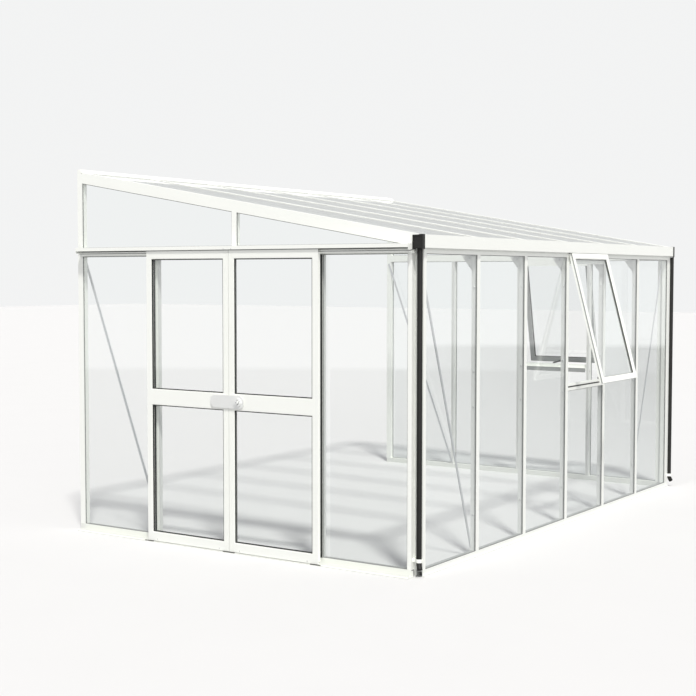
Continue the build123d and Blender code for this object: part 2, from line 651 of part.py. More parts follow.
def sash_stay(angle, x):
    """Flat stay from the upstand of the window's sill out to the foot of the open sash."""
    to_bar = SASH_H - SASH_BAR / 2
    out_y = -to_bar * sin(radians(angle)) - SASH_T
    out_z = -to_bar * cos(radians(angle))
    foot_y = SEAT_BACK + WINDOW_UPSTAND_T
    foot_z = WINDOW_SILL + WINDOW_SILL_H
    outline = [(foot_y, foot_z), (foot_y, foot_z + STAY_W), (out_y, out_z + STAY_W / 2),
               (out_y, out_z - STAY_W / 2), (foot_y - STAY_FOOT, foot_z)]
    outside = opened(block(-SASH_W, SASH_W, -SASH_W, 0, -2 * SASH_H, SASH_W), angle)
    return prism_x(outline, x - STAY_T / 2, x + STAY_T / 2) - outside


def window_sill():
    """Sill of a window, which also holds the pane below it: outer lip, ledge and upstand."""
    body = (BAY - BAR_BODY_W) / 2
    face = (BAY - CAP_W) / 2
    sill = block(-face, face, 0, SEAT_BACK, WINDOW_SILL, WINDOW_SILL + WINDOW_LIP_H)
    sill += block(-body, body, SEAT_BACK, WALL_DEPTH, WINDOW_SILL, WINDOW_SILL + WINDOW_LIP_H)
    upstand_y = SEAT_BACK + WINDOW_UPSTAND_T
    sill += block(-body, body, SEAT_BACK, upstand_y, WINDOW_SILL, WINDOW_SILL + WINDOW_SILL_H)
    return sill - block(-body, body, CAP_T, SEAT_V, WINDOW_SILL, WINDOW_SILL + GROOVE_DEPTH)


def window_head():
    body = (BAY - BAR_BODY_W) / 2
    face = (BAY - CAP_W) / 2
    head = block(-face, face, 0, SEAT_BACK, WINDOW_HEAD - WINDOW_HEAD_H, WINDOW_HEAD)
    return head + block(-body, body, SEAT_BACK, WALL_DEPTH, WINDOW_HEAD - WINDOW_HEAD_H, WINDOW_HEAD)


def hinge_bead(angle):
    """Round hinge bead in the corner over the sash's raised top face."""
    radius = HINGE_D / 2
    z = (radius + HINGE_PLAY) / cos(radians(angle)) + radius * tan(radians(angle))
    return Pos(0, -radius - HINGE_PLAY, z) * Rot(0, 90, 0) * Cylinder(radius, SASH_W)


# Bracing


def flat_brace(plane, start, end):
    """Flat bar between two points of a plane, lying on its inner side."""
    run = Vector(*end) - Vector(*start)
    middle = (Vector(*start) + Vector(*end)) * 0.5
    angle = Vector(1, 0, 0).get_signed_angle(Vector(run.X, run.Y, 0), Vector(0, 0, 1))
    outline = Pos(middle.X, middle.Y) * Rot(0, 0, angle) * Rectangle(run.length, BRACE_W)
    return extrude(plane * outline, amount=BRACE_T)


def braces():
    """Braces on the inner faces of the bars: both wall-side gable bays and both end eave bays."""
    low = SILL_H + BRACE_W
    high = HEAD_Z - BRACE_W
    last = bar_line(GABLE_BAYS - 1)
    wall = DEPTH - PLATE_W / 2
    post = POST_NOTCH_X + POST_WEB + BRACE_W
    near = Plane((WALL_DEPTH, 0, 0), Y_AXIS, X_AXIS)
    far = Plane((LENGTH - WALL_DEPTH - BRACE_T, 0, 0), Y_AXIS, X_AXIS)
    eave = Plane((0, WALL_DEPTH + BRACE_T, 0), X_AXIS, (0, -1, 0))
    return [
        flat_brace(near, (last, low), (wall, high)),
        flat_brace(far, (last, low), (wall, high)),
        flat_brace(eave, (post, high), (bar_line(1), low)),
        flat_brace(eave, (LENGTH - post, high), (bar_line(EAVE_BAYS - 1), low)),
    ]


def knee_bracket(index):
    """Gusset between a mullion and its rafter with a triangular opening in the corner."""
    x = bar_line(index)
    corner = roof_z(WALL_DEPTH, RAFTER_DEPTH)

    def triangle(run, drop):
        end = WALL_DEPTH + run
        return [(WALL_DEPTH, corner), (end, roof_z(end, RAFTER_DEPTH)), (WALL_DEPTH, corner - drop)]

    plate = prism_x(triangle(KNEE_RUN, KNEE_DROP), x - KNEE_T / 2, x + KNEE_T / 2)
    return plate - prism_x(triangle(KNEE_HOLE_RUN, KNEE_HOLE_DROP), x - KNEE_T / 2, x + KNEE_T / 2)


# Rainwater


def pipe_centre(far):
    """Centre of a downpipe: in the notch of the near post, or beside the far gable."""
    return (LENGTH + PIPE_CENTRE, FAR_PIPE_Y) if far else (PIPE_CENTRE, PIPE_CENTRE)


def downpipe(far):
    """Pipe mitred to a shoe that throws the water away from the corner."""
    radius = PIPE_D / 2
    turn = SHOE_TURN if far else -SHOE_TURN
    knee = Pos(*pipe_centre(far), PIPE_FOOT_Z) * Rot(0, 0, turn)
    tilt = Rot(-SHOE_TILT, 0, 0)
    over_mitre = knee * Rot(-SHOE_TILT / 2, 0, 0) * block(-PIPE_D, PIPE_D, -PIPE_D, PIPE_D, 0, PIPE_D)
    under_mitre = knee * Rot(-SHOE_TILT / 2, 0, 0) * block(-PIPE_D, PIPE_D, -PIPE_D, PIPE_D, -PIPE_D, 0)
    head_z = EAVE_Z - END_CAP_DROP if far else EAVE_Z
    pipe_length = head_z - PIPE_FOOT_Z + radius
    pipe = knee * Pos(0, 0, pipe_length / 2 - radius) * Cylinder(radius, pipe_length) - under_mitre
    shoe = knee * tilt * Pos(0, 0, radius / 2 - SHOE_LENGTH / 2) * Cylinder(radius, SHOE_LENGTH + radius)
    mouth_z = SHOE_RECESS / 2 - SHOE_LENGTH
    mouth = knee * tilt * Pos(0, 0, mouth_z) * Cylinder(radius - PIPE_WALL, SHOE_RECESS)
    return pipe + (shoe - over_mitre) - mouth


def downpipe_clip(far):
    """Ring round the pipe with a lug on the post: on the back wall of the notch, or on the gable face."""
    x, y = pipe_centre(far)
    z0 = PIPE_FOOT_Z + CLIP_ABOVE_FOOT
    z1 = z0 + CLIP_H
    middle = Pos(x, y, (z0 + z1) / 2)
    if far:
        lug = block(LENGTH, LENGTH + CLIP_T, y, y + CLIP_LUG_W, z0, z1)
        post = block(0, LENGTH, -DEPTH, DEPTH, 0, EAVE_Z)
    else:
        lug = block(x, POST_NOTCH_X, y, POST_NOTCH_Y, z0, z1)
        post = block(POST_NOTCH_X, POST_EDGE, -DEPTH, DEPTH, 0, EAVE_Z)
    ring = middle * Cylinder(PIPE_D / 2 + CLIP_T, CLIP_H)
    return ring + lug - middle * Cylinder(PIPE_D / 2 + CLIP_CLEAR, CLIP_H) - post


# Nodes


def window_nodes():
    """Both windows: sash and pane as nodes of their own, frames and stays shared."""
    nodes = {"window_frames": [], "window_stays": []}
    front = ("front_window", False, FRONT_OPEN, SASH_W / 2 - STAY_INSET)
    gable = ("gable_window", True, GABLE_OPEN, 0)
    for name, far, angle, stay_x in (front, gable):
        nodes[name + "_sash"] = [into_bay(opened(sash_frame(), angle), far)]
        nodes[name + "_glass"] = [into_bay(opened(sash_pane(), angle), far)]
        for piece in (window_sill(), window_head(), hinge_bead(angle)):
            nodes["window_frames"].append(into_bay(piece, far))
        nodes["window_stays"].append(into_bay(sash_stay(angle, stay_x), far))
    return nodes


def all_nodes():
    nodes = {
        "base_sill_front": [front_sill()],
        "base_sill_left": [near_sill()],
        "base_sill_right": [far_sill()],
        "corner_post_left": [near_post()],
        "corner_post_right": [far_post()],
        "wall_post_left": [wall_post(False)],
        "wall_post_right": [wall_post(True)],
        "eave_gutter": [eave_beam()],
        "gutter_end_caps": [end_cap(False), end_cap(True)],
        "wall_plate": [wall_plate()],
        "gable_rafter_left": [gable_rafter(False)],
        "gable_rafter_right": [gable_rafter(True)],
        "roof_rafters": [rafter(index) for index in range(1, EAVE_BAYS)],
        "knee_brackets": [knee_bracket(index) for index in range(1, EAVE_BAYS)],
        "front_mullions": [front_mullion(index) for index in range(1, EAVE_BAYS)],
        "right_gable_mullions": [wall_bar(True, index) for index in range(1, GABLE_BAYS)],
        "door_jambs": [wall_bar(False, index) for index in (1, GABLE_BAYS - 1)],
        "transom_left": [transom(False)],
        "transom_right": [transom(True)],
        "king_posts": [king_post(False), king_post(True)],
        "braces": braces(),
        "front_glass": front_glass(),
        "roof_glass": roof_glass(),
        "left_gable_glass": gable_glass(False),
        "right_gable_glass": gable_glass(True),
        "door_track": [door_track()],
        "door_guide": [door_guide()],
        "door_latch_plate": [latch_plate()],
        "door_latch_knob": [latch_knob()],
        "downpipes": [downpipe(False), downpipe(True)],
        "downpipe_clips": [downpipe_clip(False), downpipe_clip(True)],
    }
    for side, wall_side in (("left", True), ("right", False)):
        nodes[f"door_{side}_frame"] = [leaf_frame(wall_side)]
        nodes[f"door_{side}_glass"] = leaf_panes(wall_side)
        nodes[f"door_{side}_hangers"] = leaf_hangers(wall_side)
    nodes.update(window_nodes())
    return nodes


def main():
    os.makedirs("parts", exist_ok=True)
    to_origin = Pos(-LENGTH / 2, -WALL_DEPTH / 2, 0)
    for name, group in all_nodes().items():
        solids = [to_origin * solid for piece in group for solid in piece.solids()]
        whole = solids[0] if len(solids) == 1 else Compound(children=solids)
        export_step(whole, f"parts/{name}.step")


main()
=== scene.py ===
import math

import bpy
import numpy as np
from mathutils import Matrix, Vector


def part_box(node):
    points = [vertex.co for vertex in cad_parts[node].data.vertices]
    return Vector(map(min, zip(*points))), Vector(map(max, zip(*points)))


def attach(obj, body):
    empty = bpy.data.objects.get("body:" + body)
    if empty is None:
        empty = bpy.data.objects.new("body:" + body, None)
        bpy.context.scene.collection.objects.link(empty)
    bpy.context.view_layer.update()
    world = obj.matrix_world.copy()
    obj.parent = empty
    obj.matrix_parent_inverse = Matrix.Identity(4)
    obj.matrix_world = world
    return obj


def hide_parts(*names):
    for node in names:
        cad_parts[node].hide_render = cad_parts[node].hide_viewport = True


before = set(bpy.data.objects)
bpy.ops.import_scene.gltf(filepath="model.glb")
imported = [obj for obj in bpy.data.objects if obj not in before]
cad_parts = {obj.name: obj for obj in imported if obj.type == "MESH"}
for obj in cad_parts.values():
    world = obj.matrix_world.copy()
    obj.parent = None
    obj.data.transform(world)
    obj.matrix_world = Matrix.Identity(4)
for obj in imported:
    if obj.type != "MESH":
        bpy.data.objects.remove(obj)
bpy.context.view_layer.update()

# Lean-to greenhouse: X along the eave, Y towards the house wall, Z up, in metres
BAY = 0.745
EAVE_BAYS = 6
GABLE_BAYS = 4
MARGIN = 0.050              # a wall's outer face to the middle of its first bar
WALL_T = 0.050
BAR_W = 0.042               # face of a glazing bar, with its cap
BAR_BODY_W = 0.026          # body of a glazing bar, behind the glass
SEAT_BACK = 0.0113          # outer face to the inner side of the glass seat
GLASS_FACE = 0.0043         # outer face to the outer side of the glass
GLASS_BACK = 0.0083         # outer face to the inner side of the glass

front_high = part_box("base_sill_front")[1]
X0, X1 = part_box("base_sill_left")[0].x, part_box("wall_post_right")[1].x
Y0 = -WALL_T / 2
SILL_TOP = front_high.z
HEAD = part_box("transom_left")[0].z
TRANSOM_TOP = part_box("transom_left")[1].z
PLATE_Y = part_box("wall_plate")[0].y
POST_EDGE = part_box("corner_post_left")[1].x - X0
POST_GABLE_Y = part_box("corner_post_left")[1].y
FRONT_BARS = [X0 + MARGIN + BAY * index for index in range(EAVE_BAYS + 1)]
GABLE_BARS = [Y0 + MARGIN + BAY * index for index in range(GABLE_BAYS + 1)]
FRONT_WINDOW_BAY = 3
GABLE_WINDOW_BAY = 1

# Roof slope through the tops of the roof bars
PITCH = math.radians(9.78)
COS, SIN = math.cos(PITCH), math.sin(PITCH)
ROOF_FOOT = 2.247

X_DIR, Y_DIR, Z_DIR = np.eye(3)
UP_SLOPE = np.array([0, COS, SIN])
OUT_OF_ROOF = np.array([0, -SIN, COS])


def roof_top(y, depth=0.0):
    """Height over y of the plane that lies depth below the tops of the roof bars."""
    return ROOF_FOOT + (y - Y0) * math.tan(PITCH) - depth / COS


# Shader maths


class Value:
    """A socket that Python's arithmetic works on; each operation adds its Math node."""

    def __init__(self, finish, socket):
        self.finish = finish
        self.socket = socket

    def math(self, operation, *others):
        inputs = dict(enumerate((self, *others)))
        return self.finish.node("ShaderNodeMath", {"operation": operation}, inputs)

    def __add__(self, other):
        return self.math("ADD", other)

    def __sub__(self, other):
        return self.math("SUBTRACT", other)

    def __rsub__(self, other):
        return (self * -1.0).math("ADD", other)

    def __mul__(self, other):
        return self.math("MULTIPLY", other)

    __radd__ = __add__
    __rmul__ = __mul__

    def power(self, exponent):
        return self.math("POWER", exponent)

    def clamp(self):
        return self.math("MINIMUM", 1.0).math("MAXIMUM", 0.0)

    def above(self, edge, width):
        """0 below edge, 1 a width above it, and even between."""
        return ((self - edge) * (1.0 / width)).clamp()


class Finish:
    """One material, or the world, and its nodes."""

    def __init__(self, owner):
        owner.use_nodes = True
        self.tree = owner.node_tree
        self.tree.nodes.clear()

    def node(self, kind, settings=None, inputs=None, output=0):
        """Adds a node of a kind, sets it, then gives its sockets their values or links."""
        made = self.tree.nodes.new(kind)
        for name, value in (settings or {}).items():
            setattr(made, name, value)
        for key, value in (inputs or {}).items():
            if isinstance(value, Value):
                self.tree.links.new(value.socket, made.inputs[key])
            else:
                made.inputs[key].default_value = value
        return Value(self, made.outputs[output]) if made.outputs else None

    def noise(self, size, detail=2.0, stretch=(1, 1, 1)):
        """Noise whose grain is about size metres, longer along an axis whose stretch is small."""
        where = self.node("ShaderNodeTexCoord", output="Object")
        place = self.node("ShaderNodeMapping", inputs={"Vector": where, "Scale": stretch})
        inputs = {"Vector": place, "Scale": 1.0 / size, "Detail": detail, "Roughness": 0.5}
        return self.node("ShaderNodeTexNoise", inputs=inputs, output="Fac")

    def part_of(self, vector, axis):
        return self.node("ShaderNodeSeparateXYZ", inputs={0: vector}, output=axis)

    def mix_colours(self, factor, first, second):
        """Colour between two others, each three numbers or a socket."""
        first, second = (c if isinstance(c, Value) else (*c, 1) for c in (first, second))
        inputs = {0: factor, 6: first, 7: second}
        return self.node("ShaderNodeMix", {"data_type": "RGBA"}, inputs, 2)

    def bump(self, height, distance, strength):
        inputs = {"Height": height, "Distance": distance, "Strength": strength}
        return self.node("ShaderNodeBump", inputs=inputs)

    def principled(self, **sockets):
        """Surface of one Principled node; a socket's name has _ for each space."""
        inputs = {name.replace("_", " "): value for name, value in sockets.items()}
        self.shade(self.node("ShaderNodeBsdfPrincipled", inputs=inputs))

    def shade(self, shader, kind="ShaderNodeOutputMaterial"):
        self.node(kind, inputs={"Surface": shader})


def powder_coat(name, tones, behind=None, indoors=None):
    """Powder coat: a fine orange peel, slow shifts between two tones, and gloss that varies.
    Where behind is given, an axis, a place on it and two tones, what lies further in has those tones,
    as painted shade.
    Where indoors is given, what faces against that axis has the deep-shade tones, as painted shade."""
    made = bpy.data.materials.new(name)
    finish = Finish(made)
    drift = finish.noise(size=0.35, detail=3.0)
    colour = finish.mix_colours(drift, *tones)
    # Painted shade: past the place on the axis the coat takes the darker tones
    if behind is not None:
        axis, place, shade_tones = behind
        where = finish.node("ShaderNodeTexCoord", output="Object")
        inner = finish.part_of(where, axis).above(place, width=0.0005)
        colour = finish.mix_colours(inner, colour, finish.mix_colours(drift, *shade_tones))
    # Painted shade: faces turned indoors take the deep-shade tones
    if indoors is not None:
        facing = finish.node("ShaderNodeTexCoord", output="Normal")
        indoor_shade = (finish.part_of(facing, indoors) * -1.0).above(0.6, width=0.1)
        colour = finish.mix_colours(indoor_shade, colour, finish.mix_colours(drift, *DEEP_SHADE_AND_PILE_TONES))
    peel = finish.noise(size=0.0011)
    dust = finish.noise(size=0.06, detail=4.0)
    finish.principled(
        Base_Color=colour,
        Roughness=dust * 0.16 + 0.27,
        Specular_IOR_Level=0.45,
        Normal=finish.bump(peel, distance=0.00006, strength=0.5),
    )
    return made


def clear_glass():
    """Float glass: clear with a faint green-grey tint, and reflections that grow at a glance.
    It holds back less light from a lamp than it mirrors, so that shadows stay pale."""
    made = bpy.data.materials.new("float_glass")
    finish = Finish(made)
    facing = finish.node("ShaderNodeLayerWeight", inputs={"Blend": 0.5}, output="Facing")
    smear = finish.noise(size=0.22, detail=3.0, stretch=(1, 1, 0.4))
    shadow = finish.node("ShaderNodeLightPath", output="Is Shadow Ray")
    mirror = (facing.power(5.0) * 0.96 + smear * 0.012 + 0.038) * (1.0 - shadow * 0.65)
    ripple = finish.bump(finish.noise(size=0.5, detail=1.0), distance=0.0005, strength=0.12)
    tint = {"Color": (0.978, 0.986, 0.984, 1)}
    through = finish.node("ShaderNodeBsdfTransparent", inputs=tint)
    polish = {"Color": (1, 1, 1, 1), "Roughness": 0.0, "Normal": ripple}
    gloss = finish.node("ShaderNodeBsdfGlossy", inputs=polish)
    finish.shade(finish.node("ShaderNodeMixShader", inputs={0: mirror, 1: through, 2: gloss}))
    return made


def rubber(name, light, shade):
    """Sealing rubber, matt with a faint bloom."""
    made = bpy.data.materials.new(name)
    finish = Finish(made)
    bloom = finish.noise(size=0.02, detail=3.0)
    finish.principled(
        Base_Color=finish.mix_colours(bloom, light, shade),
        Roughness=bloom * 0.2 + 0.55,
        Normal=finish.bump(finish.noise(size=0.0008), distance=0.00008, strength=0.5),
    )
    return made


def black_plastic():
    """Black moulded plastic with a satin skin and fine lengthwise draw lines."""
    made = bpy.data.materials.new("black_pipe_plastic")
    finish = Finish(made)
    drawn = finish.noise(size=0.004, stretch=(1, 1, 0.02))
    patches = finish.noise(size=0.15, detail=3.0)
    finish.principled(
        Base_Color=finish.mix_colours(patches, (0.012, 0.012, 0.012), (0.024, 0.024, 0.022)),
        Roughness=patches * 0.18 + 0.34,
        Specular_IOR_Level=0.25,
        Normal=finish.bump(drawn, distance=0.0001, strength=0.4),
    )
    return made


def satin_metal(name, light, shade, stretch):
    """Brushed metal under clear lacquer, with the grain along one way."""
    made = bpy.data.materials.new(name)
    finish = Finish(made)
    grain = finish.noise(size=0.0009, detail=3.0, stretch=stretch)
    finish.principled(
        Base_Color=finish.mix_colours(grain, light, shade),
        Metallic=0.4,
        Roughness=grain * 0.16 + 0.3,
        Normal=finish.bump(grain, distance=0.00004, strength=0.5),
    )
    return made


WHITE_TONES = ((0.915, 0.930, 0.882), (0.885, 0.900, 0.852))
# Painted shade: the sills' white coat in darker tones
SILL_SHADE_TONES = ((0.800, 0.815, 0.770), (0.765, 0.780, 0.735))
# Painted shade: darker white for the insides of the bars and jambs
PAINTED_SHADE_TONES = ((0.760, 0.768, 0.745), (0.715, 0.722, 0.700))
# Painted deep shade on the inner parts of the sills, the gable sash's indoor faces and the far sill's
# strip; also the grey of the track's pile brushes
DEEP_SHADE_AND_PILE_TONES = ((0.380, 0.388, 0.380), (0.330, 0.338, 0.330))
BEHIND_CAP = 0.0045         # outer face to where the painted shade starts

# Painted shade on what lies behind the outer faces of the eave side and the left gable
EAVE_PAINTED_SHADE = ("Y", Y0 + BEHIND_CAP, PAINTED_SHADE_TONES)
EAVE_DEEP_SHADE = ("Y", Y0 + BEHIND_CAP, DEEP_SHADE_AND_PILE_TONES)
GABLE_PAINTED_SHADE = ("X", X0 + BEHIND_CAP, PAINTED_SHADE_TONES)
GABLE_DEEP_SHADE = ("X", X0 + BEHIND_CAP, DEEP_SHADE_AND_PILE_TONES)

WHITE = powder_coat("white_powder_coat", WHITE_TONES)
# Front mullions: white cap, painted shade on the body behind it
EAVE_BAR_SHADED = powder_coat("white_eave_bar_coat_shaded_behind_cap", WHITE_TONES, behind=EAVE_PAINTED_SHADE)
# Eave sill: white front, painted deep shade behind it
EAVE_SILL_SHADED = powder_coat("white_eave_sill_coat_deep_shade_behind", WHITE_TONES, behind=EAVE_DEEP_SHADE)
# Door jambs: white front, painted shade behind it
JAMB_SHADED = powder_coat("white_jamb_coat_shaded_behind", WHITE_TONES, behind=GABLE_PAINTED_SHADE)
# Far gable's mullions and the knee brackets: painted shade all over
PAINTED_SHADE_WHITE = powder_coat("painted_shade_white_coat", PAINTED_SHADE_TONES)
# Gable window's sash: painted deep shade on the faces turned indoors
GABLE_SASH_SHADED = powder_coat("white_gable_sash_coat_shaded_indoors", WHITE_TONES, indoors="X")
# Painted deep shade for the far window's sill strip; also the pile brushes' own grey
DEEP_SHADE_AND_PILE_COAT = powder_coat("deep_shade_and_grey_pile_coat", DEEP_SHADE_AND_PILE_TONES)
# Sills and door guide: painted shade all over
SILL_SHADED = powder_coat("white_sill_coat_painted_shade", SILL_SHADE_TONES)
# Left gable's sill: painted shade, deeper behind its outer face
GABLE_SILL_SHADED = powder_coat("white_gable_sill_coat_painted_shade", SILL_SHADE_TONES, behind=GABLE_DEEP_SHADE)
GLASS = clear_glass()
RUBBER = rubber("black_sealing_rubber", (0.011, 0.012, 0.012), (0.026, 0.028, 0.027))
GREY_RUBBER = rubber("grey_sealing_rubber", (0.210, 0.218, 0.212), (0.290, 0.298, 0.292))
BLACK = black_plastic()
GREY = satin_metal("grey_lacquered_metal", (0.95, 0.96, 0.94), (0.88, 0.89, 0.87), (1, 0.03, 1))
MILL = satin_metal("mill_finish_aluminium", (0.70, 0.71, 0.72), (0.60, 0.61, 0.62), (1, 1, 0.03))
STEEL = satin_metal("zinc_plated_steel", (0.70, 0.71, 0.70), (0.52, 0.53, 0.53), (1, 1, 1))

FINISH_OF = {
    "downpipes": BLACK,
    "gutter_end_caps": BLACK,
    "window_stays": BLACK,
    "braces": MILL,
    "door_latch_plate": GREY,
    "door_latch_knob": GREY,
    "door_left_hangers": STEEL,
    "door_right_hangers": STEEL,
    "door_guide": SILL_SHADED,
    "door_jambs": JAMB_SHADED,
    "base_sill_front": EAVE_SILL_SHADED,
    "base_sill_left": GABLE_SILL_SHADED,
    "base_sill_right": SILL_SHADED,
    "front_mullions": EAVE_BAR_SHADED,
    "right_gable_mullions": PAINTED_SHADE_WHITE,
    "knee_brackets": PAINTED_SHADE_WHITE,
    "gable_window_sash": GABLE_SASH_SHADED,
}
for name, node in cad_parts.items():
    node.data.materials.clear()
    node.data.materials.append(FINISH_OF.get(name, GLASS if "glass" in name else WHITE))


# Meshes of the new pieces


def piece(name, points, faces, finish, body="frame"):
    """A mesh from arrays of points and faces, riding on a body."""
    mesh = bpy.data.meshes.new(name)
    mesh.from_pydata(points.reshape(-1, 3).tolist(), [], faces.tolist())
    mesh.materials.append(finish)
    mesh.update()
    made = bpy.data.objects.new(name, mesh)
    bpy.context.scene.collection.objects.link(made)
    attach(made, body)
    return made


def grid_faces(rows, columns, closed_rows, closed_columns):
    """Quads of a grid of rows by columns, joined round where it closes."""
    row = np.arange(rows if closed_rows else rows - 1)
    column = np.arange(columns if closed_columns else columns - 1)
    r, c = (part.ravel() for part in np.meshgrid(row, column, indexing="ij"))
    r2, c2 = (r + 1) % rows, (c + 1) % columns
    corners = [r * columns + c, r * columns + c2, r2 * columns + c2, r2 * columns + c]
    return np.stack(corners, axis=1)


def joined(parts):
    """Several (points, faces) as one pair, each part's faces counted on from the part before."""
    counts = [len(points.reshape(-1, 3)) for points, _ in parts]
    starts = np.concatenate([[0], np.cumsum(counts)[:-1]])
    points = np.concatenate([points.reshape(-1, 3) for points, _ in parts])
    faces = np.concatenate([faces + start for (_, faces), start in zip(parts, starts)])
    return points, faces


def across_ring(start, count):
    """Quads that close a ring of an even count of points, each between two facing pairs."""
    step = np.arange(count // 2 - 1)
    return start + np.stack([step, step + 1, count - 2 - step, count - 1 - step], axis=1)


def folded(line, thickness, origin, across, upward, along, length):
    """A folded strip: a line in the plane of across and upward is moved half the thickness to each
    side along the mitres of its bends, and that outline is carried straight along for a length."""
    line = np.asarray(line, float)
    step = np.diff(line, axis=0)
    step /= np.linalg.norm(step, axis=1)[:, None]
    normal = step[:, ::-1] * (-1, 1)
    before = np.vstack([normal[:1], normal])
    after = np.vstack([normal, normal[-1:]])
    mitre = (before + after) / (1 + (before * after).sum(1))[:, None] * thickness / 2
    loop = np.vstack([line + mitre, (line - mitre)[::-1]])
    count = len(loop)
    start = np.asarray(origin) + loop[:, :1] * across + loop[:, 1:] * upward
    ends = [across_ring(0, count)[:, ::-1], across_ring(count, count)]
    faces = np.concatenate([grid_faces(2, count, False, True), *ends])
    if np.dot(np.cross(upward, across), along) < 0:
        faces = faces[:, ::-1]
    return np.stack([start, start + np.asarray(along) * length]), faces


def along_gable(line, thickness, x, y, length):
    """A folded strip along Y from y on; its line's points are counted from x, and are heights."""
    return folded(line, thickness, (x, y, 0), X_DIR, Z_DIR, Y_DIR, length)


def turned(profile, centres, out, sides=8):
    """Round bodies on the axis out, one at each centre: a point of the profile, a radius and a
    height, goes round the axis, and the first and last rings are closed across."""
    profile = np.asarray(profile, float)
    centres = np.asarray(centres, float).reshape(-1, 3)
    side = np.cross(out, (0.31, 0.52, 0.80))
    side /= np.linalg.norm(side)
    turn = np.arange(sides) * math.tau / sides
    ring = np.cos(turn)[:, None] * side + np.sin(turn)[:, None] * np.cross(out, side)
    shape = (profile[:, None, :1] * ring + profile[:, None, 1:] * out).reshape(-1, 3)
    last = (len(profile) - 1) * sides
    ends = [across_ring(0, sides)[:, ::-1], across_ring(last, sides)]
    faces = np.concatenate([grid_faces(len(profile), sides, False, True), *ends])
    starts = np.arange(len(centres)) * len(shape)
    return centres[:, None] + shape, (faces + starts[:, None, None]).reshape(-1, 4)


def pan_head(radius):
    """Profile of a pan-head screw, a little under the face that it is driven into."""
    return [(radius, -0.0006), (radius, radius * 0.35), (radius * 0.62, radius * 0.62)]


def places(*axes):
    """Every point whose x, y and z are taken from the three lists."""
    return np.stack(np.meshgrid(*axes, indexing="ij"), axis=-1).reshape(-1, 3)


def half_round(width, height):
    """Profile of a bead from the edge of the bar inwards: half an ellipse over its width."""
    turn = np.linspace(0, math.pi, 6)
    return np.stack([width / 2 - np.cos(turn) * width / 2, np.sin(turn) * height], axis=1)


def rim(corners, out, profile):
    """A bead round a flat opening, its corners in either order: a point is its corner moved
    inwards along the mitre by the profile's first number and outwards along out by its second."""
    if np.dot(np.cross(corners[1] - corners[0], corners[2] - corners[1]), out) < 0:
        corners = corners[::-1]
    ahead = np.roll(corners, -1, axis=0) - corners
    ahead /= np.linalg.norm(ahead, axis=1)[:, None]
    inward = np.cross(out, ahead)
    before = np.roll(inward, 1, axis=0)
    mitre = (inward + before) / (1 + (inward * before).sum(1))[:, None]
    moved = mitre[:, None] * profile[None, :, :1] + out * profile[None, :, 1:]
    return corners[:, None] + moved, grid_faces(len(corners), len(profile), True, False)[:, ::-1]


def rectangle(origin, across, upward, a0, a1, b0, b1):
    corners = np.array([(a0, b0), (a1, b0), (a1, b1), (a0, b1)])
    return np.asarray(origin) + corners[:, :1] * across + corners[:, 1:] * upward


def pane_beads(outline, out, depths, profile):
    """Beads on both faces of a pane; depths are from the plane of its outline to the two faces."""
    return [rim(outline - out * depth, out * way, profile) for way, depth in zip((1, -1), depths)]


def beads_of_panes(rows, origin, across, upward, out, depths, profile):
    """Beads of upright or sloping rectangular panes in one plane."""
    outlines = [rectangle(origin, across, upward, *row) for row in rows]
    return [bead for outline in outlines for bead in pane_beads(outline, out, depths, profile)]


# Beads of the eave side, the gables and the roof
BEAD = half_round(0.0042, 0.0024)
ROOF_BEAD = half_round(0.0035, 0.0010)
DOOR_BEAD = half_round(0.0105, 0.0096)
SASH_BEAD = half_round(0.0090, 0.0060)
HALF_BAR = BAR_W / 2
GLASS_FACES = (GLASS_FACE, GLASS_BACK)
WINDOW_SILL = 1.066         # top of the fixed pane under a window
RAFTER_UNDER = 0.080        # tops of the roof bars to the underside of a gable's rafter
ROOF_PANE_START = -0.019    # up the slope, from the outer face of the eave side


def bay_edges(bars, first, last):
    """Clear width between the bars of each bay, with the outermost edges given."""
    lows = [first] + [bar + HALF_BAR for bar in bars[1:-1]]
    highs = [bar - HALF_BAR for bar in bars[1:-1]] + [last]
    return list(zip(lows, highs))


def wall_rows(edges, window=None):
    """Panes from the sill to the head, or to the window's sill in the bay with the window."""
    tops = [WINDOW_SILL if bay == window else HEAD for bay in range(len(edges))]
    return [(low, high, SILL_TOP, top) for (low, high), top in zip(edges, tops)]


def upper_corners(x, y0, y1):
    """Corners of a pane over the transom, a quadrangle or, at the eave, a triangle."""
    meet = Y0 + (TRANSOM_TOP - roof_top(Y0, RAFTER_UNDER)) / math.tan(PITCH)
    corners = [(x, y1, TRANSOM_TOP), (x, y1, roof_top(y1, RAFTER_UNDER))]
    if y0 > meet:
        corners += [(x, y0, roof_top(y0, RAFTER_UNDER)), (x, y0, TRANSOM_TOP)]
    else:
        corners.append((x, meet, TRANSOM_TOP))
    return np.array(corners)


front_rows = wall_rows(bay_edges(FRONT_BARS, X0 + POST_EDGE, X1 - POST_EDGE), FRONT_WINDOW_BAY)
beads = beads_of_panes(front_rows, (0, Y0, 0), X_DIR, Z_DIR, -Y_DIR, GLASS_FACES, BEAD)
piece("front_glazing_beads", *joined(beads), GREY_RUBBER)

